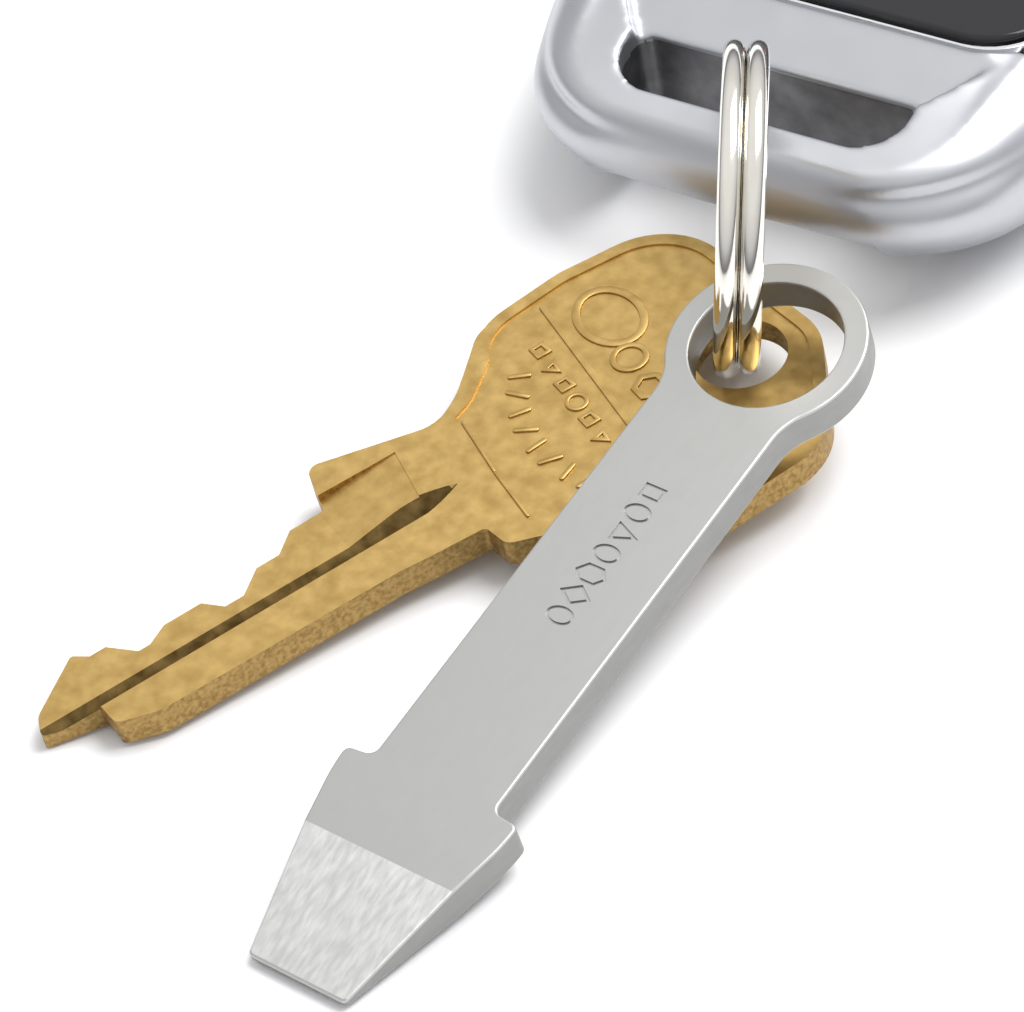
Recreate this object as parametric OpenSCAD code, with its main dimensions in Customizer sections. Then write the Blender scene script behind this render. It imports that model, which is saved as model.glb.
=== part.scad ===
// Bunch of carried keys on one split ring: a smart key fob, a brass door key
// and a flat steel pry tool. Millimetres, +Z up, the fob lies face up.
// The origin is the centre of the flat patch that the fob rests on.
// +Y points from the key ring to the far end of the fob.

/* [Fob case] */
// Width of the fob across its widest place
fob_w = 41; // [40:0.5:43]
// Length of the fob from the ring end to the far end
fob_len = 75.4; // [74:0.2:78]
// Height of the glossy panel above the table
fob_h = 12.9; // [12.8:0.1:13.2]
// Thickness of the case walls
wall = 1.4; // [1.2:0.1:1.6]
// Height of the joint between the lower and the upper shell
seam_z = 5.6; // [5.4:0.1:5.8]

/* [Ring slot] */
// Half length of the slot that the split ring passes through
slot_half = 10.1; // [9.5:0.1:10.3]
// Depth of the slot from the bar to its back wall
slot_depth = 5; // [4.6:0.1:5.2]
// Height of the rim round the slot
rim_z = 11; // [10.8:0.1:11.2]

/* [Split ring] */
// Outer diameter of the split ring
ring_od = 20.6; // [20.2:0.1:20.8]
// Width of one coil of the ring
coil_w = 1.45; // [1.4:0.01:1.5]
// Radial thickness of the ring wire
coil_t = 1.1; // [1:0.05:1.15]

/* [Brass key] */
// Thickness of the key plate
key_t = 1.95; // [1.9:0.05:2]
// Radius of the hole in the bow
key_hole_r = 2.9; // [2.8:0.05:3]

/* [Pry tool] */
// Thickness of the steel bar
tool_t = 2.4; // [2.2:0.05:2.4]
// Radius of the hole in the ring end
tool_hole_r = 4.7; // [4.5:0.05:4.8]
// Outer radius of the ring end
tool_end_r = 6.2; // [6.1:0.05:6.3]
// Distance from the hole to the driver edge
tool_reach = 48.6; // [48:0.1:50]

/* [Buttons] */
// Travel of each push button
button_travel = 0.4; // [0.3:0.05:0.4]
// Gap round each button in the panel
button_gap = 0.3; // [0.3:0.05:0.35]

/* [Hidden] */
$fn = 64;
eps = 0.01;

// Places along the fob
slot_y = -32;
ring_end_y = slot_y - 6.4;
far_y = ring_end_y + fob_len;
half_w = fob_w / 2;
bar_back_y = slot_y - 2.9;
slot_back_y = bar_back_y + slot_depth;
frame_back_y = slot_y + 7.4;
panel_front_y = slot_y + 6.3;

// Corner circles of the case outline: place and radius
case_corners = [[9.2, ring_end_y + 7.5, 7.5], [half_w - 8.5, slot_y + 10, 8.5],
    [half_w - 9, far_y - 9, 9]];
// Height and inset of each level of the case
case_levels = [[1.1, 4.2], [3.2, 1.9], [5, 0.7], [6.8, 0], [8.8, 0.7]];
// The rest patch under the fob
rest_half = [9, 19];
rest_r = 4;
// Corner circles of the rim round the slot
rim_corners = [[7.65, slot_y, 5], [8.9, slot_y + 14, 5]];
// Corner circles of the glossy panel
panel_corners = [[half_w - 11, panel_front_y + 5.8, 6], [half_w - 11.5, far_y - 10.5, 8]];

// Heights inside the case
ledge_z = 11.2;
board_z = 6.5;
board_t = 1;
dome_h = 0.5;
mat_z = 8.7;
mat_t = 0.8;
button_top_z = fob_h + 0.1;
cell_r = 10;
cell_h = 3.2;
cell_at = [-4.5, 8, 1.95];
cover_r = 11.3;

// Push buttons: centre along the fob and size
button_y = [-12, 2, 16];
button_size = [15, 9];

// Emergency key
blade_x = 10.8;
blade_w = 5.6;
blade_t = 1.7;
blade_z = 3.3;
blade_y = [-17, 31];
head_y = [30.2, far_y - 1];

// Places of the loose pieces
ring_at = [4.05, slot_y - 10.25, 10.5];
ring_turn = [0, 97.6, 27.6];
key_at = [5.9, slot_y - 15, 4.42];
key_turn = [0, -2.9, 62.6];
tool_at = [10, slot_y - 18.4, 8.7];
tool_turn = [0, 8.5, -95.7];

silver = [0.78, 0.79, 0.82];
black = [0.05, 0.05, 0.06];

// A pair of corner discs, mirrored left and right, at one height
module corner_discs(corners, z, inset) {
    for (c = corners, side = [-1, 1])
        translate([side * c[0], c[1], z]) cylinder(r = c[2] - inset, h = eps, $fn = 32);
}

// The crowned outer form of the case, shrunk by an inset
module case_form(inset, top_z) {
    hull() {
        for (sx = [-1, 1], sy = [-1, 1])
            translate([sx * rest_half[0], sy * rest_half[1], inset])
                cylinder(r = rest_r, h = eps, $fn = 32);
        for (l = case_levels) corner_discs(case_corners, l[0] + (l[0] < 3 ? inset : 0), l[1] + inset);
        corner_discs(rim_corners, min(rim_z, top_z) - inset, inset / 2);
        corner_discs(panel_corners, top_z - eps, inset - 1.2);
    }
}

module slab(y0, y1, z0, z1) {
    translate([-fob_w, y0, z0]) cube([2 * fob_w, y1 - y0, z1 - z0]);
}

// Straight-sided block with the outline of the panel
module panel_block(inset, z0, z1) {
    translate([0, 0, z0]) linear_extrude(z1 - z0) hull()
        for (c = panel_corners, side = [-1, 1]) translate([side * c[0], c[1]]) circle(c[2] - inset);
}

module screw_places() {
    for (side = [-1, 1]) translate([side * 10, frame_back_y + 2.6, 0]) children();
}

module end_frame() {
    color(silver) difference() {
        union() {
            intersection() {
                case_form(0, 12);
                slab(ring_end_y - 1, frame_back_y, -1, 20);
            }
            for (side = [-1, 1])
                translate([side * 10 - 2.4, frame_back_y - 1, 4.3]) cube([4.8, 6, 2]);
        }
        // Slot for the ring, open under the bar
        translate([-slot_half, 0, 0]) rotate([90, 0, 90]) linear_extrude(2 * slot_half)
            polygon([[ring_end_y - 2, -1], [ring_end_y - 2, 5], [slot_y - 5.7, 5.6],
                [slot_y - 4.5, 7.2], [slot_y - 3.6, 8.8], [bar_back_y, 10.2], [bar_back_y, 20],
                [slot_back_y, 20], [slot_back_y, -1]]);
        // Scoop that falls from the panel to the slot
        hull() {
            translate([-slot_half, slot_back_y - 1, 10.2]) cube([2 * slot_half, 1, 5]);
            translate([-slot_half - 2.4, panel_front_y - 0.3, 12.1]) cube([2 * slot_half + 4.8, 0.3, 5]);
        }
        // Level top of the rim
        translate([-fob_w, ring_end_y - 1, rim_z])
            cube([2 * fob_w, slot_back_y - ring_end_y + 1, 5]);
        screw_places() translate([0, 0, 4]) cylinder(r = 0.85, h = 3);
        // Room for the panel and its trim
        panel_block(-0.05, 10.9, 20);
    }
}

module lower_shell() {
    color(silver) difference() {
        intersection() {
            case_form(0, 12);
            slab(frame_back_y + 0.05, far_y + 1, -1, seam_z);
        }
        intersection() {
            case_form(wall, 12);
            slab(frame_back_y + wall, far_y - wall, wall, seam_z + 1);
        }
        // Round battery opening with a seat for its cover
        translate([cell_at[0], cell_at[1], -1]) cylinder(r = cell_r + 0.4, h = 5);
        translate([cell_at[0], cell_at[1], -1]) cylinder(r = cover_r + 0.1, h = 1.85);
        // Notches for the frame's tongues
        for (side = [-1, 1]) translate([side * 10 - 2.5, frame_back_y - 1, 4.2]) cube([5, 6, 3]);
        screw_places() translate([0, 0, -1]) cylinder(r = 1, h = 9);
        // Mouth for the emergency key
        translate([blade_x - 4.2, head_y[0], 2]) cube([8.4, 12, 4]);
    }
}

module upper_shell() {
    color(silver) difference() {
        intersection() {
            case_form(0, 12);
            slab(frame_back_y + 0.05, far_y + 1, seam_z, ledge_z + 0.4);
        }
        intersection() {
            case_form(wall, 12);
            slab(frame_back_y + wall, far_y - wall, seam_z - 1, ledge_z - 1.2);
        }
        panel_block(2.2, ledge_z - 2, 20);
        panel_block(0, ledge_z, 20);
        for (side = [-1, 1]) translate([side * 10 - 2.5, frame_back_y - 1, 4]) cube([5, 6, 2.4]);
    }
}

module panel_trim() {
    color([0.9, 0.9, 0.92]) difference() {
        panel_block(0.05, ledge_z, ledge_z + 0.7);
        panel_block(0.7, ledge_z - 1, 20);
    }
}

module button_window(i, grow, z0, z1) {
    translate([0, button_y[i], z0]) linear_extrude(z1 - z0) offset(r = 2.5 + grow, $fn = 32)
        square([button_size[0] - 5, button_size[1] - 5], center = true);
}

module front_panel() {
    color(black) difference() {
        union() {
            panel_block(0.8, ledge_z, fob_h - 0.5);
            panel_block(1.5, ledge_z, fob_h);
        }
        for (i = [0:2]) button_window(i, button_gap, 0, 20);
        translate([0, -21, 0]) cylinder(r = 0.9, h = 20);
    }
}

module status_lens() {
    color([0.9, 0.3, 0.2]) translate([0, -21, 0]) {
        translate([0, 0, mat_z + mat_t]) cylinder(r = 1.3, h = ledge_z - mat_z - mat_t);
        translate([0, 0, mat_z + mat_t]) cylinder(r = 0.85, h = fob_h - mat_z - mat_t);
    }
}

module keypad_membrane() {
    color([0.25, 0.25, 0.27]) difference() {
        translate([-10.5, -22.5, mat_z]) cube([21, 46, mat_t]);
        // Each key has a thin flexing web round its centre pad
        for (y = button_y) translate([0, y, mat_z + 0.3]) difference() {
            cylinder(r = 3.6, h = 1);
            cylinder(r = 2.2, h = 1);
        }
    }
}

module push_button(i) {
    color(black) {
        button_window(i, 0, mat_z + mat_t + button_travel + 0.05, button_top_z);
        button_window(i, 0.9, mat_z + mat_t + button_travel + 0.05, ledge_z - 0.1);
    }
}

module lock_button() { push_button(0); }

module unlock_button() { push_button(1); }

module boot_button() { push_button(2); }

module circuit_board() {
    color([0.1, 0.4, 0.2]) difference() {
        hull() for (sx = [-1, 1], sy = [-1, 1])
            translate([sx * 12, 4 + sy * 22, board_z]) cylinder(r = 2, h = board_t, $fn = 32);
        for (y = [-15, 25]) translate([12, y, 0]) cylinder(r = 0.8, h = 20);
    }
}

module board_components() {
    color([0.15, 0.15, 0.17]) {
        // Controller, radio chip and crystal hang under the board
        for (c = [[-6, -13, 5, 5, 0.9], [3, -14, 4, 4, 0.8], [-6, 22, 6, 2.4, 0.7], [2, 22, 3, 2, 0.8]])
            translate([c[0], c[1], board_z - c[4]]) cube([c[2], c[3], c[4]]);
        for (k = [0:5]) translate([-11.6 + k * 1.8, -8, board_z - 0.5]) cube([1, 0.5, 0.5]);
    }
}

module dome_switches() {
    color([0.8, 0.8, 0.75]) for (y = button_y) translate([0, y, board_z + board_t]) {
        cylinder(r1 = 2.6, r2 = 1.6, h = dome_h);
    }
}

module antenna_coil() {
    color([0.6, 0.35, 0.15]) translate([-13.6, -18, seam_z + 2.2]) {
        cube([2.8, 12, 2]);
        for (k = [0:4]) translate([-0.2, 1 + 2.2 * k, -0.2]) cube([3.2, 1.4, 2.4]);
    }
}

module coin_cell() {
    color([0.75, 0.75, 0.77]) translate(cell_at) {
        cylinder(r = cell_r, h = cell_h - 0.5);
        translate([0, 0, cell_h - 0.5]) cylinder(r = cell_r - 1.4, h = 0.5);
    }
}

module battery_clip() {
    color([0.85, 0.8, 0.6]) difference() {
        translate([cell_at[0] - 11, cell_at[1] - 3, cell_at[2] + 1.7]) cube([6, 6, board_z - cell_at[2] - 1.7]);
        translate([cell_at[0], cell_at[1], 0]) cylinder(r = cell_r + 0.05, h = cell_at[2] + cell_h);
        translate([cell_at[0] - 10.4, cell_at[1] - 4, cell_at[2] + cell_h + 0.3]) cube([7, 8, 0.7]);
    }
}

module battery_spring() {
    color([0.85, 0.7, 0.4]) translate([cell_at[0], cell_at[1], cell_at[2] + cell_h]) {
        cylinder(r = 3, h = 0.3);
        for (a = [0, 120, 240]) rotate(a) translate([1.4, -0.6, 0]) cube([1, 1.2, board_z - cell_at[2] - cell_h]);
    }
}

module battery_cover() {
    color(silver) translate([cell_at[0], cell_at[1], 0.05]) difference() {
        union() {
            cylinder(r = cover_r, h = 0.8);
            cylinder(r = cell_r + 0.2, h = 1.6);
        }
        translate([-5, -0.8, -1]) cube([10, 1.6, 1.6]);
    }
}

module cover_seal() {
    color([0.1, 0.1, 0.1]) translate([cell_at[0], cell_at[1], 1.65]) difference() {
        cylinder(r = cell_r + 0.2, h = 0.3);
        translate([0, 0, -1]) cylinder(r = cell_r - 0.8, h = 3);
    }
}

module case_gasket() {
    color([0.12, 0.12, 0.12]) difference() {
        intersection() {
            case_form(wall + 0.05, 12);
            slab(frame_back_y + 6, far_y - wall - 0.1, seam_z - 0.4, seam_z + 0.4);
        }
        intersection() {
            case_form(wall + 0.9, 12);
            slab(frame_back_y + 6.9, far_y - wall - 0.9, 0, 20);
        }
    }
}

module case_screws() {
    color([0.7, 0.7, 0.72]) screw_places() {
        translate([0, 0, 2.4]) cylinder(r = 0.83, h = 3.8);
        difference() {
            translate([0, 0, 1.7]) cylinder(r = 0.98, h = 0.7);
            translate([0, 0, 1.6]) cylinder(r = 0.4, h = 0.5, $fn = 6);
        }
    }
}

module blade_guide() {
    color([0.3, 0.3, 0.32]) difference() {
        translate([blade_x - 3.6, blade_y[0] - 1, blade_z - 0.7]) cube([7.2, head_y[0] - blade_y[0] + 0.8, 2.5]);
        translate([blade_x - blade_w / 2 - 0.06, blade_y[0] - 0.1, blade_z - 0.06])
            cube([blade_w + 0.12, 80, 4]);
    }
}

module emergency_blade() {
    color([0.75, 0.75, 0.78]) difference() {
        translate([blade_x - blade_w / 2, blade_y[0], blade_z]) cube([blade_w, head_y[1] - 2 - blade_y[0], blade_t]);
        // Pointed tip and milled track
        for (side = [-1, 1]) translate([blade_x + side * blade_w / 2, blade_y[0], 0]) rotate(45)
            cube([2, 2, 20], center = true);
        translate([blade_x - 0.7, blade_y[0] - 1, blade_z + blade_t - 0.6]) cube([1.4, 42, 2]);
    }
}

module blade_head() {
    color(black) difference() {
        intersection() {
            translate([blade_x - 3.9, head_y[0], 2.3]) cube([7.8, 12, 2.8]);
            translate([half_w - 9, far_y - 9, 2.3]) cylinder(r1 = 5.9, r2 = 8.1, h = 2.8);
        }
        translate([blade_x - blade_w / 2, 0, blade_z]) cube([blade_w, head_y[1] - 2, blade_t]);
    }
}

module blade_detent() {
    // Leaf that bears on the side of the key's head
    color([0.8, 0.8, 0.8]) translate([blade_x - 4.15, head_y[0] - 4, blade_z]) {
        cube([0.2, 6, 1.4]);
        translate([0, 0, 0]) cylinder(r = 0.35, h = 1.4);
    }
}

module split_ring() {
    color([0.8, 0.8, 0.78]) translate(ring_at) rotate(ring_turn) rotate_extrude($fn = 96)
        for (side = [-1, 1]) translate([ring_od / 2 - coil_t, side * coil_w / 2]) {
            translate([0, -coil_w / 2]) square([coil_t - coil_w / 2 + 0.3, coil_w]);
            intersection() {
                translate([coil_t - coil_w / 2, 0]) circle(coil_w / 2);
                translate([0, -coil_w / 2]) square([coil_t, coil_w]);
            }
        }
}

// Outline of the key: hole at the origin, blade towards -X
key_hole_at = [-0.6, -0.8];
// Depth of the bitting along the blade, from tip to shoulder
bit_x = [-44.4, -43.6, -42.4, -40.9, -40.2, -38.8, -36.3, -35.2, -34, -32.5, -30.9, -29, -26.9];
bit_y = [6.1, 5.4, 5.3, 3.7, 3.7, 4.5, 4.4, 3.2, 3.2, 4.6, 4.6, 5.9, 5.9];

module key_plan() {
    // Bow
    hull() {
        for (c = [[-9.3, 8, 4.4], [-1.9, 7.2, 5.2], [-0.4, -1.5, 4.5], [-3.6, -5.6, 5.2], [-11.5, -6.2, 4.9]])
            translate([c[0], c[1]]) circle(c[2]);
    }
    // Neck with its stop shoulder
    polygon([[-26.8, 5.8], [-25.9, 8.9], [-25.3, 9.1], [-18.3, 7], [-13, 10.8], [-6, 0], [-13, -9],
        [-17.5, -5.6], [-19.9, -4.3], [-20.1, -2.5], [-26, -1.8]]);
    // Blade
    polygon(concat([[-20.1, -2.5], [-26, -1.8], [-42.4, -1.8], [-45, -0.9], [-45.1, 1.1], [-48.8, 2], [-48.3, 3.2]],
        [for (k = [0:len(bit_x) - 1]) [bit_x[k], bit_y[k]]], [[-20.1, 5.9]]));
}

module brass_key() {
    color([0.75, 0.6, 0.33]) translate(key_at) rotate(key_turn) difference() {
        translate([0, 0, -key_t]) linear_extrude(key_t) key_plan();
        translate([key_hole_at[0], key_hole_at[1], -5]) cylinder(r = key_hole_r, h = 10);
        // Milled tracks on both faces of the blade
        translate([-50, 2.3, -0.55]) cube([28.5, 8, 2]);
        translate([-50, 1.4, -1.0]) cube([30.2, 0.95, 2]);
        translate([-50, -0.6, -key_t - 1]) cube([30, 1.6, 1.7]);
    }
}

module tool_plan() {
    circle(tool_end_r);
    polygon([[3, -4.9], [4.6, -4.35], [34.2, -4.35], [34.9, -5.2], [35.3, -6.2], [36, -6.3],
        [40.1, -5.35], [tool_reach, -3.5], [tool_reach, 3.5], [40.1, 5.35], [36, 6.3], [35.3, 6.2],
        [34.9, 5.2], [34.2, 4.35], [4.6, 4.35], [3, 4.9]]);
}

module pry_tool() {
    color([0.72, 0.72, 0.7]) translate(tool_at) rotate(tool_turn) difference() {
        intersection() {
            translate([0, 0, -tool_t]) linear_extrude(tool_t) tool_plan();
            // Side view: the driver edge is ground from both faces
            translate([0, 10, 0]) rotate([90, 0, 0]) linear_extrude(20)
                polygon([[-8, 0], [40.3, 0], [tool_reach + 1, -tool_t / 2 + 0.2],
                    [tool_reach + 1, -tool_t / 2 - 0.2], [40.3, -tool_t], [-8, -tool_t]]);
        }
        translate([0, 0, -5]) cylinder(r = tool_hole_r, h = 10);
    }
}

end_frame();
lower_shell();
upper_shell();
panel_trim();
front_panel();
status_lens();
keypad_membrane();
lock_button();
unlock_button();
boot_button();
circuit_board();
board_components();
dome_switches();
antenna_coil();
coin_cell();
battery_clip();
battery_spring();
battery_cover();
cover_seal();
case_gasket();
case_screws();
blade_guide();
emergency_blade();
blade_head();
blade_detent();
split_ring();
brass_key();
pry_tool();
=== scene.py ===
# %% [markdown]
# # A bunch of carried keys
# A smart fob, a brass door key and a flat steel pry tool hang on one split ring.
# The engineering model gives every part its place and its motion.
# This script dresses it: it models the visible pieces finely, gives each a finish, and lights them.

import math

import bmesh
import bpy
from mathutils import Matrix, Vector


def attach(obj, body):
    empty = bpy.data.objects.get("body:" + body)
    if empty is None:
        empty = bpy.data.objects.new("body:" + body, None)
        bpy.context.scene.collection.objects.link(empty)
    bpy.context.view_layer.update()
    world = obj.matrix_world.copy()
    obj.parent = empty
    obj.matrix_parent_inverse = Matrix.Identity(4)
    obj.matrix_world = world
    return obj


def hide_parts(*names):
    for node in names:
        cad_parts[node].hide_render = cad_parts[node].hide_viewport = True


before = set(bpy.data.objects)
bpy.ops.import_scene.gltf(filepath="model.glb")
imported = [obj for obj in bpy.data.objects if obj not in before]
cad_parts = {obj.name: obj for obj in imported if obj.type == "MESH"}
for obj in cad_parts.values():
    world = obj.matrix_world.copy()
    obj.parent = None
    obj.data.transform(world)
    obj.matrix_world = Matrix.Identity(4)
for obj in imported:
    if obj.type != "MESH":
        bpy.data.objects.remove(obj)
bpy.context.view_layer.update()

# %% [markdown]
# ## Ways of working
# Blender's operators act on all that is selected, so every step starts by letting go of everything.
# Shapes are drawn in millimetres, because a small number such as 0.2 is easy to read and the
# Boolean tool is steadier at that size. Each piece is scaled to metres when it is put in place.

# %% Holding one piece
MM = 0.001
print("one drawn unit is", MM, "metres")


def let_go():
    """Leaves edit mode and selects nothing."""
    if bpy.context.object and bpy.context.object.mode != "OBJECT":
        bpy.ops.object.mode_set(mode="OBJECT")
    bpy.ops.object.select_all(action="DESELECT")


def hold(piece):
    """Selects one piece and nothing else."""
    let_go()
    piece.select_set(True)
    bpy.context.view_layer.objects.active = piece


def edit(piece):
    """Opens a piece in edit mode with all of it selected."""
    hold(piece)
    bpy.ops.object.mode_set(mode="EDIT")
    bpy.ops.mesh.select_all(action="SELECT")


# %% [markdown]
# Points, edges and faces are chosen by where they lie or which way they face, which is what the
# eye does. These helpers work on the open mesh of the piece that is being edited.

# %% Choosing points, edges and faces
def pick(piece, kind, test):
    """In edit mode, selects the points, edges or faces that pass a test, and says how many."""
    bpy.ops.mesh.select_mode(type=kind)
    bpy.ops.mesh.select_all(action="DESELECT")
    net = bmesh.from_edit_mesh(piece.data)
    parts = {"VERT": net.verts, "EDGE": net.edges, "FACE": net.faces}[kind]
    parts.ensure_lookup_table()
    chosen = [p for p in parts if test(p)]
    for p in chosen:
        p.select_set(True)
    net.select_flush_mode()
    bmesh.update_edit_mesh(piece.data)
    return len(chosen)


def middle(edge):
    """The middle of an edge."""
    return (edge.verts[0].co + edge.verts[1].co) / 2


def is_sharp(edge, degrees=35):
    """True where the two faces of an edge meet at more than this angle."""
    return len(edge.link_faces) == 2 and edge.calc_face_angle(0) > math.radians(degrees)


# %% [markdown]
# ## Outlines
# Most of these pieces are plates: a flat outline with a thickness. A person would place one
# point, extrude it from corner to corner, fill the loop and round the corners. These helpers do
# just that. A corner is written x, y, and how far back along its edges the rounding starts.

# %% Drawing an outline
CLOSE_BY = 1e-3


def trace(name, corners, height=None, steps=6):
    """Draws a filled outline through the corners. height gives z at a place, zero if left out."""
    rise = height or (lambda x, y: 0.0)
    spots = [Vector((c[0], c[1], rise(c[0], c[1]))) for c in corners]
    let_go()
    bpy.ops.mesh.primitive_plane_add(size=1)
    piece = bpy.context.object
    piece.name = piece.data.name = name
    bpy.ops.object.mode_set(mode="EDIT")
    bpy.ops.mesh.select_mode(type="VERT")
    bpy.ops.mesh.select_all(action="SELECT")
    bpy.ops.mesh.merge(type="CENTER")
    bpy.ops.transform.translate(value=spots[0])
    for here, there in zip(spots, spots[1:]):
        bpy.ops.mesh.extrude_region_move(TRANSFORM_OT_translate={"value": there - here})
    ends = (spots[0], spots[-1])
    pick(piece, "VERT", lambda v: min((v.co - e).length for e in ends) < CLOSE_BY / 10)
    bpy.ops.mesh.edge_face_add()
    bpy.ops.mesh.select_all(action="SELECT")
    bpy.ops.mesh.edge_face_add()
    for cut in sorted({c[2] for c in corners if len(c) > 2}):
        rounded = [s for s, c in zip(spots, corners) if len(c) > 2 and c[2] == cut]
        pick(piece, "VERT", lambda v: min((v.co - s).length for s in rounded) < CLOSE_BY)
        bpy.ops.mesh.bevel(offset=cut, offset_type="ABSOLUTE", affect="VERTICES", segments=steps)
    bpy.ops.mesh.select_all(action="SELECT")
    return piece


def arc(middle_at, radius, start, end, steps):
    """Points on an arc, angles in degrees."""
    turns = [math.radians(start + (end - start) * k / steps) for k in range(steps + 1)]
    x, y = middle_at
    return [(x + radius * math.cos(t), y + radius * math.sin(t)) for t in turns]


# %% [markdown]
# A sheet or a plate is its outline pushed down by its thickness. The new walls may face either
# way, so all faces are turned outwards at the end.

# %% Giving an outline its thickness
def plate(name, corners, top, depth, steps=6):
    """A flat plate: an outline at the height of its top, extruded down by its depth."""
    piece = trace(name, corners, lambda x, y: top, steps)
    thicken(depth)
    return piece


def thicken(depth):
    """Extrudes the selected face straight down and turns all faces outwards."""
    bpy.ops.mesh.extrude_region_move(TRANSFORM_OT_translate={"value": (0, 0, -depth)})
    bpy.ops.mesh.select_all(action="SELECT")
    bpy.ops.mesh.normals_make_consistent(inside=False)
    let_go()


# %% [markdown]
# Holes, slots and grooves are cut with a second shape, as a milling cutter would cut them, and
# the sharp edges that the cut leaves are then broken with a bevel.

# %% Cutting and breaking edges
def finish_with(piece, kind, **settings):
    """Adds a modifier with these settings and applies it."""
    hold(piece)
    modifier = piece.modifiers.new(kind, kind)
    for key, value in settings.items():
        setattr(modifier, key, value)
    bpy.ops.object.modifier_apply(modifier=modifier.name)


def carve(piece, cutter, how="DIFFERENCE"):
    """Cuts one shape from another, or joins it on, and throws the second away."""
    finish_with(piece, "BOOLEAN", operation=how, object=cutter, solver="EXACT")
    bpy.data.objects.remove(cutter)
    print(piece.name, how.lower(), "leaves", len(piece.data.polygons), "faces")


def soften(piece, width, test, steps=2):
    """Bevels the edges that pass a test, and says how many there were."""
    edit(piece)
    found = pick(piece, "EDGE", test)
    if found:
        bpy.ops.mesh.bevel(offset=width, segments=steps, affect="EDGES", clamp_overlap=True)
    let_go()
    return found


# %% [markdown]
# A piece is drawn lying flat at the middle of the world. When it is done, it is scaled to
# metres, turned and moved to where it hangs, and that place is stored in its points. It then
# rides on a body of the engineering model, and takes the place of the plain node there.

# %% Putting a piece in its place
def settle(piece, body, nodes, at=(0, 0, 0), turn=(0, 0, 0), smooth=30):
    """Scales a piece to metres, puts it in its place, and has it stand for its engineering nodes."""
    hold(piece)
    piece.scale = (MM, MM, MM)
    piece.rotation_euler = [math.radians(a) for a in turn]
    piece.location = [a * MM for a in at]
    bpy.ops.object.transform_apply(location=True, rotation=True, scale=True)
    bpy.ops.object.shade_smooth_by_angle(angle=math.radians(smooth))
    finish_with(piece, "WEIGHTED_NORMAL", mode="FACE_AREA", weight=100, keep_sharp=True)
    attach(piece, body)
    if nodes:
        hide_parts(*nodes)
    print(piece.name, "has", len(piece.data.polygons), "faces")


# %% [markdown]
# ## Finishes
# A metal looks real through what its surface does to a highlight, so each finish varies its
# roughness and has a little relief at the scale of its grinding, casting or wear. All patterns
# read object coordinates, so they stay on the piece as it moves.

# %% A new finish
def new_finish(name, colour, metal, rough, **sockets):
    """A material with one principled shader, whose other sockets can be set by name."""
    finish = bpy.data.materials.new(name)
    finish.use_nodes = True
    shader = finish.node_tree.nodes["Principled BSDF"]
    shader.inputs["Base Color"].default_value = (*colour, 1)
    shader.inputs["Metallic"].default_value = metal
    shader.inputs["Roughness"].default_value = rough
    for key, value in sockets.items():
        shader.inputs[key.replace("_", " ")].default_value = value
    return finish


# %% [markdown]
# One kind of pattern does for all of them: noise. Grinding lines are noise drawn out along the
# direction of the wheel, so the pattern can be turned and stretched.

# %% A pattern
def grain(finish, scale, stretch=(1, 1, 1), turn=(0, 0, 0), detail=4.0):
    """A noise pattern on the piece, drawn out along an axis, as a value from 0 to 1."""
    tree = finish.node_tree
    where = tree.nodes.new("ShaderNodeTexCoord")
    lay = tree.nodes.new("ShaderNodeMapping")
    noise = tree.nodes.new("ShaderNodeTexNoise")
    lay.vector_type = "TEXTURE"
    lay.inputs["Rotation"].default_value = [math.radians(a) for a in turn]
    lay.inputs["Scale"].default_value = stretch
    noise.inputs["Scale"].default_value = scale
    noise.inputs["Detail"].default_value = detail
    tree.links.new(where.outputs["Object"], lay.inputs["Vector"])
    tree.links.new(lay.outputs["Vector"], noise.inputs["Vector"])
    return noise.outputs["Fac"]


# %% [markdown]
# A pattern can drive the colour, the roughness or a fine relief. The same pattern often drives
# two of them, because a stain that is darker is usually duller too.

# %% What a pattern can drive
def shade_between(finish, pattern, low, high, first, second):
    """Colours the piece from one tone to another as the pattern goes from low to high."""
    tree = finish.node_tree
    ramp = tree.nodes.new("ShaderNodeValToRGB")
    ramp.color_ramp.elements[0].position = low
    ramp.color_ramp.elements[1].position = high
    ramp.color_ramp.elements[0].color = (*first, 1)
    ramp.color_ramp.elements[1].color = (*second, 1)
    tree.links.new(pattern, ramp.inputs["Fac"])
    tree.links.new(ramp.outputs["Color"], tree.nodes["Principled BSDF"].inputs["Base Color"])


def vary_gloss(finish, pattern, smoothest, roughest):
    """Lets the roughness follow a pattern."""
    tree = finish.node_tree
    span = tree.nodes.new("ShaderNodeMapRange")
    span.inputs["From Min"].default_value = 0.3
    span.inputs["From Max"].default_value = 0.7
    span.inputs["To Min"].default_value = smoothest
    span.inputs["To Max"].default_value = roughest
    tree.links.new(pattern, span.inputs["Value"])
    tree.links.new(span.outputs["Result"], tree.nodes["Principled BSDF"].inputs["Roughness"])


def add_relief(finish, pattern, depth_mm, strength=1.0):
    """Bumps the surface by a pattern, with the depth in millimetres."""
    tree = finish.node_tree
    bump = tree.nodes.new("ShaderNodeBump")
    bump.inputs["Strength"].default_value = strength
    bump.inputs["Distance"].default_value = depth_mm * MM
    tree.links.new(pattern, bump.inputs["Height"])
    tree.links.new(bump.outputs["Normal"], tree.nodes["Principled BSDF"].inputs["Normal"])


# %% Giving a piece its finishes
def wear(piece, *finishes):
    """Gives a piece its finishes in slot order, in place of what it had."""
    piece.data.materials.clear()
    for finish in finishes:
        piece.data.materials.append(finish)


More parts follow.
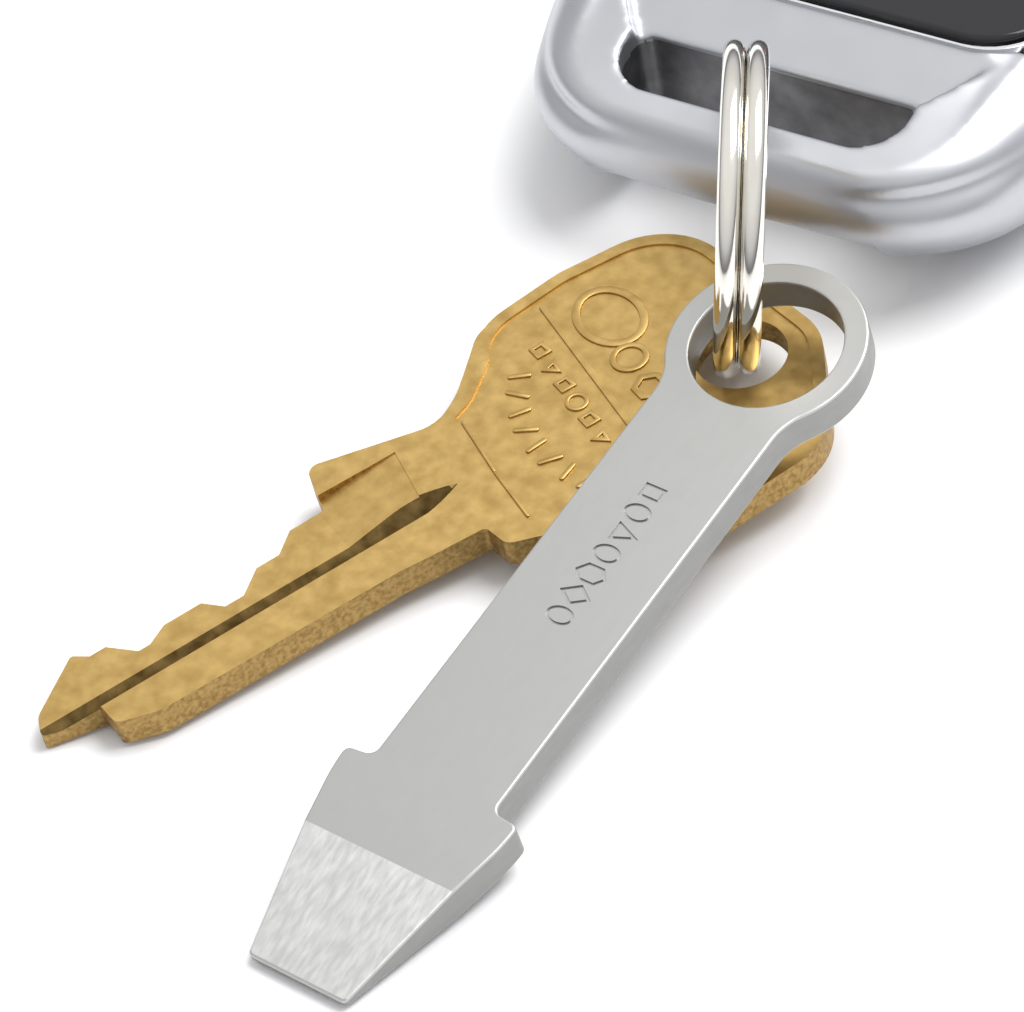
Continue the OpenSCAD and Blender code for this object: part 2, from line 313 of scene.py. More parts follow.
def paint(piece, slot_number, test):
    """Gives the faces that pass a test the finish in one slot."""
    edit(piece)
    found = pick(piece, "FACE", test)
    piece.active_material_index = slot_number
    bpy.ops.object.material_slot_assign()
    let_go()
    return found


# %% [markdown]
# ## Camera
# The bunch is seen from above at an angle, from the ring end of the fob, through a long lens, so
# parallel edges stay nearly parallel. The camera is rolled a little, so that the bunch runs across
# the frame from corner to corner, and aimed between the ring and the two loose pieces.

# %% Camera
CAMERA_AIM = Vector((-0.00278, -0.0612, 0))
CAMERA_TURN = math.radians(39.3)
CAMERA_RISE = math.radians(44.76)
CAMERA_ROLL = math.radians(-11.79)
CAMERA_FAR = 0.2951
CAMERA_LENS = 171.18

gaze = Vector((
    -math.sin(CAMERA_TURN) * math.cos(CAMERA_RISE),
    math.cos(CAMERA_TURN) * math.cos(CAMERA_RISE),
    -math.sin(CAMERA_RISE),
))
facing = gaze.to_track_quat("-Z", "Y").to_matrix() @ Matrix.Rotation(CAMERA_ROLL, 3, "Z")
let_go()
bpy.ops.object.camera_add(location=CAMERA_AIM - gaze * CAMERA_FAR, rotation=facing.to_euler())
camera = bpy.context.object
camera.data.lens = CAMERA_LENS
camera.data.sensor_width = 36
camera.data.clip_start = 0.01
bpy.context.scene.camera = camera
print("camera stands at", [round(v, 3) for v in camera.location])

# %% [markdown]
# ## Pry tool
# A bar of stainless steel, cut from sheet, with a round eye at one end and a ground driver edge
# at the other. The eye, the neck and the shoulders are one outline, so it is drawn in one go:
# half the outline, and the same points mirrored for the other half.

# %% Outline of the pry tool
TOOL_AT = (10, -50.4, 8.7)
TOOL_TURN = (0, 8.5, -95.7)
TOOL_T = 2.4
EYE_R = 6.2
EYE_HOLE_R = 4.7
NECK_TURN = 54
BAR_HALF = 4.33
GRIND_START = 40.2
TOOL_END = 48.6
EDGE_T = 0.55

upper_half = [
    (4.6, BAR_HALF, 1.1),
    (34.75, BAR_HALF, 0.55),
    (34.95, 6.2, 0.45),
    (36.6, 6.12, 0.8),
    (GRIND_START, 5.36),
    (TOOL_END, 3.5, 0.3),
]
lower_half = [(x, -y, *cut) for x, y, *cut in reversed(upper_half)]
eye = arc((0, 0), EYE_R, -NECK_TURN, -360 + NECK_TURN, 72)
tool = plate("pry_tool_bar", upper_half + lower_half + eye, 0, TOOL_T)
print("outline points:", len(tool.data.vertices) // 2)

# %% Hole in the eye
let_go()
bpy.ops.mesh.primitive_cylinder_add(vertices=96, radius=EYE_HOLE_R, depth=3 * TOOL_T)
carve(tool, bpy.context.object)

# %% [markdown]
# The driver edge is ground from both faces. A grinding wheel takes everything beyond a sloping
# plane, and so does bisect with its outer side cleared and the cut filled.

# %% Grind the driver edge
grind_angle = math.atan2((TOOL_T - EDGE_T) / 2, TOOL_END - GRIND_START)
edit(tool)
for side, height in ((1, 0.0), (-1, -TOOL_T)):
    bpy.ops.mesh.select_all(action="SELECT")
    bpy.ops.mesh.bisect(
        plane_co=(GRIND_START, 0, height),
        plane_no=(math.sin(grind_angle), 0, side * math.cos(grind_angle)),
        use_fill=True,
        clear_outer=True,
    )
let_go()
print("grind angle:", round(math.degrees(grind_angle), 1), "degrees")

# %% Break the sharp edges
print("edges softened:", soften(tool, 0.17, lambda e: is_sharp(e, 50)))

# %% [markdown]
# The bar carries a shallow engraved row. It is cut with a fine round tool, so only the outlines of
# the marks are sunk. The marks here are plain shapes: rings and polygons. One thin closed cutter
# is made for each, all are joined, and one cut sinks them together.

# %% Marks as thin outlines
def outline_mark(sides, size, line, at, stretch=(1, 1), turn=0, depth=1.0):
    """A closed thin outline with this many sides, standing through the height zero."""
    let_go()
    bpy.ops.mesh.primitive_circle_add(vertices=sides, radius=size, fill_type="NGON")
    mark = bpy.context.object
    bpy.ops.object.mode_set(mode="EDIT")
    bpy.ops.mesh.select_all(action="SELECT")
    bpy.ops.transform.rotate(value=math.radians(turn), orient_axis="Z", center_override=(0, 0, 0))
    bpy.ops.transform.resize(value=(*stretch, 1), center_override=(0, 0, 0))
    bpy.ops.transform.translate(value=(at[0], at[1], depth / 2))
    bpy.ops.mesh.inset(thickness=line)
    bpy.ops.mesh.delete(type="FACE")
    bpy.ops.mesh.select_all(action="SELECT")
    thicken(depth)
    return mark


def join(pieces):
    """Makes several pieces one."""
    hold(pieces[0])
    for piece in pieces:
        piece.select_set(True)
    bpy.ops.object.join()
    return bpy.context.object


# %% Engrave the bar
ENGRAVE_DEPTH = 0.12
ENGRAVE_LINE = 0.2
MARK_START = 12.2
MARK_PITCH = 1.62
MARK_STRETCH = (0.82, 1.18)
# Sides, size and turn of each mark; 32 sides make a ring
MARK_KINDS = [
    (4, 0.9, 45), (32, 0.8, 0), (3, 1.0, 0), (32, 0.8, 0), (6, 0.95, 0), (4, 0.95, 0), (32, 0.8, 0),
]
marks = []
for place, (sides, size, turn) in enumerate(MARK_KINDS):
    at = (MARK_START + MARK_PITCH * place, 0)
    marks.append(
        outline_mark(sides, size, ENGRAVE_LINE, at, MARK_STRETCH, turn, 2 * ENGRAVE_DEPTH)
    )
carve(tool, join(marks))
print("marks engraved:", len(MARK_KINDS))

# %% [markdown]
# Three finishes: the flats are satin, ground and tumbled, the driver edge shows the fresh lines of
# the wheel running to the tip, and the cut walls round the outline and in the eye are painted
# darker, as painted shade and painted dark reflection on those walls. The lines follow the bar, so
# the pattern is turned with it.

# %% Steel finishes
bar_turn = (0, 0, TOOL_TURN[2])
satin_steel = new_finish("satin_steel", (0.47, 0.47, 0.455), 1.0, 0.37)
fine = grain(satin_steel, 2600, (4, 1, 1), bar_turn, 3)
vary_gloss(satin_steel, fine, 0.36, 0.39)
add_relief(satin_steel, fine, 0.002, 0.3)

ground_steel = new_finish("ground_steel", (0.66, 0.66, 0.64), 1.0, 0.42)
lines = grain(ground_steel, 3200, (9, 1, 1), bar_turn, 4)
shade_between(ground_steel, lines, 0.35, 0.7, (0.58, 0.58, 0.57), (0.68, 0.68, 0.67))
vary_gloss(ground_steel, lines, 0.38, 0.5)
add_relief(ground_steel, lines, 0.012, 0.5)

# The cut walls get a darker grey: painted shade and painted dark reflection, not a different steel.
shaded_cut_steel = new_finish("shaded_cut_steel", (0.3, 0.3, 0.29), 1.0, 0.42)
cut_lines = grain(shaded_cut_steel, 1800, (3, 1, 1), bar_turn, 3)
vary_gloss(shaded_cut_steel, cut_lines, 0.38, 0.48)
add_relief(shaded_cut_steel, cut_lines, 0.006, 0.4)

wear(tool, satin_steel, ground_steel, shaded_cut_steel)


def on_grind(face):
    """The two slopes of the driver edge."""
    return face.calc_center_median().x > GRIND_START + 0.3 and abs(face.normal.z) > 0.9


ground = paint(tool, 1, on_grind)
# The walls round the outline and in the eye take the darker finish, which is painted shade.
cut = paint(tool, 2, lambda f: abs(f.normal.z) < 0.3)
print("ground faces:", ground, "cut faces:", cut)
settle(tool, "pry_tool", ["pry_tool"], TOOL_AT, TOOL_TURN)

# %% [markdown]
# ## Split ring
# A ring of spring wire with a half-round back, wound two turns, so a key can be slid between
# them. Each end lies flat against the other turn, and where the wire passes from one side to the
# other it makes a short S-bend. The profile is drawn once, then extruded and turned in small
# steps: first along one side, across in the bend, and round again on the other side.

# %% Profile of the wire
RING_AT = (4.05, -42.25, 10.5)
RING_TURN = (0, 97.6, 27.6)
RING_R = 10.3
COIL_T = 1.1
COIL_W = 1.43
COIL_APART = 1.46

back_round = arc((RING_R - COIL_W / 2, 0), COIL_W / 2, -90, 90, 14)
inner_x = RING_R - COIL_T
profile = back_round + [(inner_x, COIL_W / 2, 0.12), (inner_x, -COIL_W / 2, 0.12)]
ring = trace("split_ring_wire", profile, steps=3)
bpy.ops.transform.rotate(
    value=math.radians(-90), orient_axis="X", center_override=(0, 0, 0)
)
print("points in the profile:", len(bmesh.from_edit_mesh(ring.data).verts))

# %% Wind the wire
RING_STEP = 3.0
RING_START = 20.0
RING_TRAVEL = 642.0
# Where along the wire the S-bend starts and ends, in degrees
BEND = (288.0, 348.0)


def side_of(angle):
    """How far across the wire lies at an angle along it, from one side to the other."""
    t = min(max((angle - BEND[0]) / (BEND[1] - BEND[0]), 0), 1)
    return COIL_APART * (t * t * (3 - 2 * t) - 0.5)


bpy.ops.transform.rotate(
    value=math.radians(-RING_START), orient_axis="Z", center_override=(0, 0, 0)
)
bpy.ops.transform.translate(value=(0, 0, side_of(0)))
for step in range(round(RING_TRAVEL / RING_STEP)):
    bpy.ops.mesh.extrude_region_move()
    bpy.ops.transform.rotate(
        value=math.radians(-RING_STEP), orient_axis="Z", center_override=(0, 0, 0)
    )
    along = step * RING_STEP
    bpy.ops.transform.translate(value=(0, 0, side_of(along + RING_STEP) - side_of(along)))
bpy.ops.mesh.select_all(action="SELECT")
bpy.ops.mesh.normals_make_consistent(inside=False)
let_go()
soften(ring, 0.14, lambda e: is_sharp(e, 60))
print("wire wound through", RING_TRAVEL, "degrees:", len(ring.data.polygons), "faces")

# %% Nickel finish
nickel = new_finish("polished_nickel", (0.83, 0.8, 0.74), 1.0, 0.09)
drawn = grain(nickel, 260, detail=3)
shade_between(nickel, drawn, 0.35, 0.75, (0.78, 0.75, 0.68), (0.86, 0.84, 0.79))
vary_gloss(nickel, drawn, 0.06, 0.16)
add_relief(nickel, grain(nickel, 420, detail=2), 0.01, 0.25)
wear(ring, nickel)
settle(ring, "split_ring", ["split_ring"], RING_AT, RING_TURN, smooth=40)

# %% [markdown]
# ## Brass key
# A blank stamped from brass sheet: a large bow with a round hole, a neck with a stop, and a blade.
# The bow is a rounded form with no straight side, so it is the hull of six discs of different
# sizes. The same hull with smaller discs is the sunk field inside the raised rim.

# %% Bow
KEY_AT = (5.9, -47, 4.42)
KEY_TURN = (0, -2.9, 62.6)
KEY_T = 1.95
KEY_HOLE = (-0.6, -0.8)
KEY_HOLE_R = 2.9
BOW_DISCS = [
    (-9.3, 8, 4.4), (-5.4, 6.9, 5.85), (-1.9, 7.2, 5.2), (-0.4, -1.5, 4.5), (-3.6, -5.6, 5.2),
    (-11.5, -6.2, 4.9),
]


def bow_form(name, shrink, top, depth):
    """The hull of the bow's discs, each smaller by shrink, from its top down by its depth."""
    let_go()
    discs = []
    for x, y, radius in BOW_DISCS:
        bpy.ops.mesh.primitive_cylinder_add(
            vertices=64, radius=radius - shrink, depth=depth, location=(x, y, top - depth / 2)
        )
        discs.append(bpy.context.object)
    form = join(discs)
    hold(form)
    bpy.ops.object.transform_apply(location=True, rotation=False, scale=False)
    edit(form)
    bpy.ops.mesh.convex_hull(use_existing_faces=False)
    bpy.ops.mesh.dissolve_limited(angle_limit=math.radians(0.5))
    bpy.ops.mesh.normals_make_consistent(inside=False)
    let_go()
    form.name = form.data.name = name
    return form


key = bow_form("brass_key_plate", 0, 0, KEY_T)
print("bow of", len(BOW_DISCS), "discs:", len(key.data.polygons), "faces")

# %% [markdown]
# The neck and the blade are two more outlines. The blade's upper side is the bitting: flat-bottomed
# cuts with sloping sides, each to its own depth, which is what makes the key fit its lock.

# %% Neck and blade
neck = plate("neck", [
    (-26.9, 5.5), (-26.1, 8.75, 0.2), (-25.55, 9.15, 0.3), (-18.0, 6.85, 1.0), (-15.9, 8.0, 0.8),
    (-13.9, 9.9, 0.8), (-12.2, 11.6, 0.5), (-10.5, 12.2), (-8, 4), (-8, -5), (-14.6, -9.9),
    (-17.3, -5.6, 0.9), (-19.9, -4.45, 0.5), (-20.15, -2.5, 0.3), (-24, -2.2), (-27, -1.9),
], 0, KEY_T)
# Where each cut of the bitting starts and ends along the blade, and how high its bottom lies
CUT_LEVELS = [
    (-43.6, -42.5, 5.35), (-41.1, -40.3, 3.7), (-38.9, -36.3, 4.48), (-35.3, -34.0, 3.25),
    (-32.3, -30.7, 4.65), (-29.2, -27.0, 5.92),
]
bitting = [(x, y) for start, end, y in CUT_LEVELS for x in (start, end)]
blade = plate("blade", [
    (-20.0, -2.45), (-26, -2.0), (-42.4, -1.8, 0.5), (-45.0, -0.85, 0.4), (-45.1, 1.15, 0.2),
    (-48.8, 2.0, 0.2), (-48.3, 3.25, 0.3), (-44.5, 6.15, 0.2), *bitting, (-20.0, 5.9),
], 0, KEY_T, steps=3)
carve(key, neck, "UNION")
carve(key, blade, "UNION")

# %% Hole in the bow
let_go()
bpy.ops.mesh.primitive_cylinder_add(
    vertices=72, radius=KEY_HOLE_R, depth=3 * KEY_T, location=(*KEY_HOLE, -KEY_T / 2)
)
carve(key, bpy.context.object)

# %% [markdown]
# The rim round the bow protects the field, which is stamped a little lower on both faces. The
# field ends at a slanting border in front of the neck.

# %% Sunk field
RIM_W = 0.85
FIELD_DEPTH = 0.15
for top in (0.0, -KEY_T):
    field = bow_form("field", RIM_W, top + FIELD_DEPTH, 2 * FIELD_DEPTH)
    mouth = plate("mouth", [
        (-11.6, 10.1), (-15.3, 7.15, 0.6), (-16.75, 6.6), (-17.55, 1.1), (-17.95, -3.7),
        (-16.9, -4.7, 0.5), (-13.8, -9.0), (-9, -5), (-9, 6),
    ], top + FIELD_DEPTH, 2 * FIELD_DEPTH)
    carve(field, mouth, "UNION")
    carve(key, field)
print("key faces so far:", len(key.data.polygons))

# %% [markdown]
# The tracks along the blade are milled with a wheel, so each ends in a ramp with the wheel's
# radius. The cutter is that wheel: a disc on its side, its rim bevelled, with one half of it
# drawn out along the blade.

# %% Milled tracks
def mill_track(target, centre_y, width, depth, end_x, wheel_r, chamfer, face_z, side):
    """Cuts a track from beyond the tip to end_x, on the face at face_z that looks towards side."""
    run_out = math.sqrt(wheel_r**2 - (wheel_r - depth) ** 2)
    hub = Vector((end_x - run_out, centre_y, face_z + side * (wheel_r - depth)))
    let_go()
    bpy.ops.mesh.primitive_cylinder_add(
        vertices=128, radius=wheel_r, depth=width, location=hub, rotation=(math.pi / 2, 0, 0)
    )
    wheel = bpy.context.object
    bpy.ops.object.transform_apply(location=True, rotation=True, scale=False)
    if chamfer:
        soften(wheel, chamfer, lambda e: is_sharp(e, 60), 1)
    edit(wheel)
    bpy.ops.mesh.bisect(plane_co=hub, plane_no=(1, 0, 0))
    pick(wheel, "VERT", lambda v: v.co.x < hub.x - 1e-3)
    bpy.ops.transform.translate(value=(-40, 0, 0))
    let_go()
    carve(target, wheel)


WHEEL_R = 11
MILL_DEPTH = 0.55
MILL_SIDE_Y = 1.9
PAST_TIP = -52
RAMP_START = -27.1
carve(key, plate("wide_mill", [
    (PAST_TIP, MILL_SIDE_Y), (RAMP_START, MILL_SIDE_Y), (RAMP_START, 8.0), (PAST_TIP, 8.0),
], 1, 1 + MILL_DEPTH))
ramp_cut = trace("ramp", [
    (RAMP_START - 0.05, MILL_SIDE_Y), (-21.97, MILL_SIDE_Y), (-21.13, 6.62),
    (RAMP_START - 0.05, 6.75),
], lambda x, y: -MILL_DEPTH if x < -25 else -0.08)
thicken(-2)
carve(key, ramp_cut)
mill_track(
    key, centre_y=1.75, width=1.7, depth=1.0, end_x=-19.6,
    wheel_r=WHEEL_R, chamfer=0.8, face_z=0, side=1,
)
mill_track(
    key, centre_y=0.2, width=1.6, depth=0.6, end_x=-20.0,
    wheel_r=WHEEL_R, chamfer=0.3, face_z=-KEY_T, side=-1,
)

# %% [markdown]
# Years in a pocket round every edge of soft brass, so the edges get a small bevel before the
# raised marks are added.

# %% Worn edges
def on_key_rim(edge):
    """Outer edges of both faces, and the rim of the hole."""
    at = middle(edge)
    flat = abs(edge.verts[0].co.z - edge.verts[1].co.z) < 1e-3
    outer = min(abs(at.z), abs(at.z + KEY_T)) < 1e-3
    return flat and outer and is_sharp(edge, 60)


print("key edges softened:", soften(key, 0.16, on_key_rim))

# %% [markdown]
# The bow has stamped marks that stand up from the field. Lettering is replaced by plain shapes: a
# large oval, a long bar, a row of small outlines and an arc of dashes. Each is a small plate that
# reaches down into the field.

# %% Kinds of raised mark
MARK_TOP = -0.02
MARK_BASE = -0.4


def lift(piece, height):
    """Moves a piece straight up and stores its new place in its points."""
    hold(piece)
    piece.location.z = height
    bpy.ops.object.transform_apply(location=True, rotation=False, scale=False)
    return piece


def raised_bar(start, end, width):
    """A straight raised bar between two places."""
    a, b = Vector(start), Vector(end)
    across = Vector((-(b - a).y, (b - a).x)).normalized() * width / 2
    corners = [a + across, b + across, b - across, a - across]
    cut = 0.45 * width
    return plate("bar", [(p.x, p.y, cut) for p in corners], MARK_TOP, MARK_TOP - MARK_BASE, 3)


def raised_outline(sides, size, line, at, stretch, turn):
    """A raised closed outline."""
    mark = outline_mark(sides, size, line, at, stretch, turn, MARK_TOP - MARK_BASE)
    return lift(mark, (MARK_TOP + MARK_BASE) / 2)


# %% Large marks and the border
raised = [
    raised_outline(48, 2.6, 0.55, (-4.9, 7.4), (0.85, 1.1), 0),
    raised_outline(32, 1.25, 0.4, (-5.9, 3.6), (1, 1), 0),
    raised_outline(6, 1.2, 0.4, (-6.3, 0.7), (1, 1), 0),
    raised_bar((-7.6, 11.2), (-9.1, -2.6), 0.45),
    raised_bar((-17.05, 6.4), (-17.75, 1.1), 0.28),
    raised_bar((-17.75, 1.15), (-18.2, -3.6), 0.28),
    raised_bar((-16.6, 6.1), (-17.3, 1.1), 0.2),
    raised_bar((-17.3, 1.15), (-17.7, -3.4), 0.2),
]
print("large marks and border lines:", len(raised))

# %% Row of small outlines
ROW_TOP = Vector((-9.75, 7.9))
ROW_STEP = Vector((-0.21, -1.75))
ROW_SIDES = (4, 3, 4, 32, 4, 3)
for place, sides in enumerate(ROW_SIDES):
    raised.append(raised_outline(sides, 0.75, 0.28, ROW_TOP + ROW_STEP * place, (1, 1.05), 45))
print("outlines in the row:", len(ROW_SIDES))

# %% Arc of dashes
DASHES = 9
DASH_HUB = Vector((-4.6, 0.6))
DASH_START = 139
DASH_PITCH = 9.3
DASH_INNER = 8.9
DASH_OUTER = 10.4
for place in range(DASHES):
    angle = math.radians(DASH_START + DASH_PITCH * place)
    spoke = Vector((math.cos(angle), math.sin(angle)))
    lean = Vector((-spoke.y, spoke.x)) * (0.35 if place % 2 else -0.1)
    inner, outer = DASH_HUB + spoke * DASH_INNER, DASH_HUB + spoke * DASH_OUTER
    raised.append(raised_bar(inner + lean, outer - lean, 0.34))
print("raised marks:", len(raised))

# %% Stamp the marks
stamp = join(raised)
edit(stamp)
pick(stamp, "EDGE", lambda e: is_sharp(e, 60) and min(v.co.z for v in e.verts) > MARK_TOP - 0.01)
bpy.ops.mesh.bevel(offset=0.06, segments=2, affect="EDGES")
let_go()
key = join([key, stamp])
print("key with its marks:", len(key.data.polygons), "faces")

# %% [markdown]
# Brass goes golden where it is touched and brown where it isn't. The flats get a mottled gold, the
# sides are darker and pitted by wear and grime, and the walls of the deep track are painted dark
# brown as painted shade in the groove.

# %% Brass finishes
brass_flat = new_finish("aged_brass", (0.58, 0.4, 0.15), 1.0, 0.4)
patches = grain(brass_flat, 900, detail=10)
shade_between(brass_flat, patches, 0.3, 0.7, (0.47, 0.305, 0.1), (0.6, 0.41, 0.15))
vary_gloss(brass_flat, patches, 0.36, 0.46)
add_relief(brass_flat, grain(brass_flat, 3200, detail=5), 0.012, 0.4)

brass_side = new_finish("pitted_brass", (0.42, 0.27, 0.1), 1.0, 0.5)
pits = grain(brass_side, 3200, detail=6)
shade_between(brass_side, pits, 0.36, 0.64, (0.27, 0.165, 0.055), (0.47, 0.32, 0.12))
vary_gloss(brass_side, pits, 0.42, 0.56)
add_relief(brass_side, pits, 0.03, 0.6)

# The deep track gets a very dark brown, which is painted shade in the groove.
brass_track_shade = new_finish("painted_shade_brass", (0.25, 0.15, 0.05), 1.0, 0.5)
track_shade_mottle = grain(brass_track_shade, 900, detail=6)
shade_between(brass_track_shade, track_shade_mottle, 0.35, 0.65, (0.08, 0.05, 0.015), (0.19, 0.125, 0.045))
add_relief(brass_track_shade, track_shade_mottle, 0.03, 0.5)

wear(key, brass_flat, brass_side, brass_track_shade)
paint(key, 1, lambda f: abs(f.normal.z) < 0.45 and f.calc_center_median().z < -0.1)


def in_track(face):
    """The walls and the bottom of the deep track on the upper face, which are painted dark as shade.
    """
    at = face.calc_center_median()
    return 0.9 < at.y < 2.5 and -1.1 < at.z < -0.08 and -48 < at.x < -19 and face.normal.z > -0.1


print("track faces:", paint(key, 2, in_track))
settle(key, "brass_key", ["brass_key"], KEY_AT, KEY_TURN, smooth=32)

# %% [markdown]
# ## Fob case
# The case is die-cast and plated at the ring end, and moulded behind it. Its outline is a
# rounded rectangle that swells from the small patch it rests on to its widest level, draws in at
# the parting line, and runs up over a soft shoulder to the rim of the glossy panel. That is a
# stack of outlines: each is drawn, and neighbours are bridged. The end frame and both shells are
# cut from copies of this one form, so they flow into each other.

# %% Levels of the case
SLOT_Y = -32.0
RING_END_Y = SLOT_Y - 6.4
FAR_Y = 37.0
CASE_HALF = 20.5
FRAME_BACK_Y = -24.6
SEAM_Z = 5.6
PANEL_FRONT_Y = SLOT_Y + 6.3
RIM_LEVEL = 9
# Height at the ring end and along the sides, inset at the end and the sides, corner rounding
CASE_LEVELS = [
    (0.0, 0.0, 15.4, 7.5, 3.9),
    (1.1, 1.1, 4.2, 4.2, 8.0),
    (3.2, 3.2, 1.7, 1.9, 7.4),
    (5.0, 5.0, 0.5, 0.7, 7.0),
    (6.8, 6.8, 0.0, 0.0, 6.2),
    (8.3, 8.3, 0.25, 0.5, 6.4),
    (8.95, 9.1, 0.5, 1.5, 8.0),
    (9.25, 9.6, 0.65, 1.6, 7.2),
    (9.85, 11.3, 0.95, 2.7, 5.6),
    (10.4, 12.35, 1.4, 5.7, 4.8),
    (12.35, 12.35, 12.2, 6.1, 3.0),
]
print("levels of the case:", len(CASE_LEVELS))


# %% One level
def case_outline(inset_end, inset_side, cut):
    """Corners of one level of the case, right side first, then mirrored."""
    front_y = RING_END_Y + inset_end
    right = [
        (15.2 - 0.43 * min(inset_side, 7), front_y, cut),
        (CASE_HALF - inset_side, max(SLOT_Y + 9 - 0.5 * inset_side, front_y + 7), 5.0),
        (CASE_HALF - 0.62 * inset_side, FAR_Y - 0.45 * inset_side, 9.0),
    ]
    return right + [(-x, y, c) for x, y, c in reversed(right)]


# %% [markdown]
# Subdivision rounds the bridged stack into one flowing form. A crease keeps an edge where the real
# case has one: round the patch it rests on, along the rim, and where the shoulder meets the panel.

# %% The whole form
LEVEL_CREASES = ((0, 0.6), (RIM_LEVEL, 0.9), (RIM_LEVEL + 1, 1.0))


def case_form(name, wall=0.0):
    """The closed form of the case, smaller by the wall all round."""
    loops = []
    for end_z, side_z, inset_end, inset_side, cut in CASE_LEVELS:
        floor_rise = wall if side_z < 2 else 0
        loops.append(trace(
            "level", case_outline(inset_end + wall, inset_side + wall, cut),
            lambda x, y: (end_z if y < SLOT_Y else side_z) + floor_rise, 5,
        ))
        bpy.ops.mesh.delete(type="ONLY_FACE")
    let_go()
    level_points = len(loops[0].data.vertices)
    form = join(loops)
    form.name = form.data.name = name
    edit(form)
    bpy.ops.mesh.select_mode(type="EDGE")
    bpy.ops.mesh.bridge_edge_loops()
    bpy.ops.mesh.select_all(action="SELECT")
    bpy.ops.mesh.fill_holes(sides=0)
    bpy.ops.mesh.select_all(action="SELECT")
    bpy.ops.mesh.normals_make_consistent(inside=False)
    for level, keep in LEVEL_CREASES:
        pick(form, "EDGE", lambda e: all(v.index // level_points == level for v in e.verts))
        bpy.ops.transform.edge_crease(value=keep)
    let_go()
    finish_with(form, "SUBSURF", levels=2, render_levels=2)
    return form


case = case_form("case_form")
print("case faces:", len(case.data.polygons))


# %% Copies and straight cuts
def copy_of(piece, name):
    """A copy with its own mesh."""
    hold(piece)
    bpy.ops.object.duplicate(linked=False)
    twin = bpy.context.object
    twin.name = twin.data.name = name
    return twin


def block(low, high):
    """A box between two corners, to cut with."""
    let_go()
    centre = [(a + b) / 2 for a, b in zip(low, high)]
    bpy.ops.mesh.primitive_cube_add(size=1, location=centre)
    box = bpy.context.object
    box.scale = [b - a for a, b in zip(low, high)]
    bpy.ops.object.transform_apply(location=True, rotation=False, scale=True)
    return box


def keep_side(piece, place, direction):
    """Cuts a closed piece by a plane and keeps what lies behind the direction."""
    edit(piece)
    bpy.ops.mesh.bisect(plane_co=place, plane_no=direction, use_fill=True, clear_outer=True)
    bpy.ops.mesh.select_all(action="SELECT")
    bpy.ops.mesh.normals_make_consistent(inside=False)
    let_go()


# %% [markdown]
# ### End frame
# The plated end carries the slot for the ring. A bar closes the slot in front, a scoop falls to it
# from the panel, and the underside is hollowed so that the ring can pass round the bar. Each
# of these is one cut. A fine remesh and a little smoothing then give every edge the soft roll
# that polishing and plating leave.

# %% End frame cuts
SLOT_HALF = 10.1
BAR_BACK_Y = SLOT_Y - 2.9
SLOT_BACK_Y = BAR_BACK_Y + 5.0

end_frame = copy_of(case, "end_frame_casting")
keep_side(end_frame, (0, FRAME_BACK_Y, 0), (0, 1, 0))

NEAR_R = 3.1
FAR_R = 1.0
right_end = arc((SLOT_HALF - NEAR_R, BAR_BACK_Y + NEAR_R), NEAR_R, -90, -4, 12)
right_end += arc((SLOT_HALF - FAR_R, SLOT_BACK_Y - FAR_R), FAR_R, 0, 90, 6)
slot_cut = plate("slot", right_end + [(-x, y) for x, y in reversed(right_end)], 16, 18)
carve(end_frame, slot_cut)

# %% Scoop
SCOOP_LOW = 10.15
SCOOP_RISE = 2.3
SCOOP_HALF = 14.2
scoop = trace("scoop", [
    (SCOOP_HALF, PANEL_FRONT_Y + 0.6), (-SCOOP_HALF, PANEL_FRONT_Y + 0.6),
    (-SLOT_HALF + 0.1, SLOT_BACK_Y - 0.6), (SLOT_HALF - 0.1, SLOT_BACK_Y - 0.6),
], lambda x, y: SCOOP_LOW + (SCOOP_RISE if y > SLOT_BACK_Y else 0))
bpy.ops.mesh.extrude_region_move(TRANSFORM_OT_translate={"value": (0, 0, 4)})
bpy.ops.transform.resize(value=(1.1, 1, 1), center_override=(0, SLOT_Y, 12))
bpy.ops.mesh.select_all(action="SELECT")
bpy.ops.mesh.normals_make_consistent(inside=False)
let_go()
carve(end_frame, scoop)

# %% Hollow under the bar
hollow_side = [
    (RING_END_Y - 2, -1), (RING_END_Y - 2, 5), (SLOT_Y - 5.7, 5.6), (SLOT_Y - 4.5, 7.2),
    (SLOT_Y - 3.6, 8.8), (BAR_BACK_Y, 9.7), (BAR_BACK_Y + 0.5, 9.7), (BAR_BACK_Y + 3.2, 4.5),
    (SLOT_BACK_Y, 3.0), (SLOT_BACK_Y, -1),
]
hollow = plate("hollow", hollow_side, SLOT_HALF, 2 * SLOT_HALF)
edit(hollow)
bpy.ops.transform.rotate(value=-math.pi / 2, orient_axis="Y", center_override=(0, 0, 0))
bpy.ops.transform.rotate(value=-math.pi / 2, orient_axis="X", center_override=(0, 0, 0))
let_go()
carve(end_frame, hollow)

# %% Soft plated edges
finish_with(end_frame, "REMESH", mode="VOXEL", voxel_size=0.2, adaptivity=0.0)
finish_with(end_frame, "SMOOTH", factor=0.5, iterations=9)
print("end frame faces after remesh:", len(end_frame.data.polygons))

# %% Plated finish and painted slot shade
satin_chrome = new_finish("satin_chrome", (0.51, 0.52, 0.545), 1.0, 0.4)
orange_peel = grain(satin_chrome, 300, detail=3)
vary_gloss(satin_chrome, orange_peel, 0.38, 0.44)
add_relief(satin_chrome, grain(satin_chrome, 3000, detail=3), 0.004, 0.3)

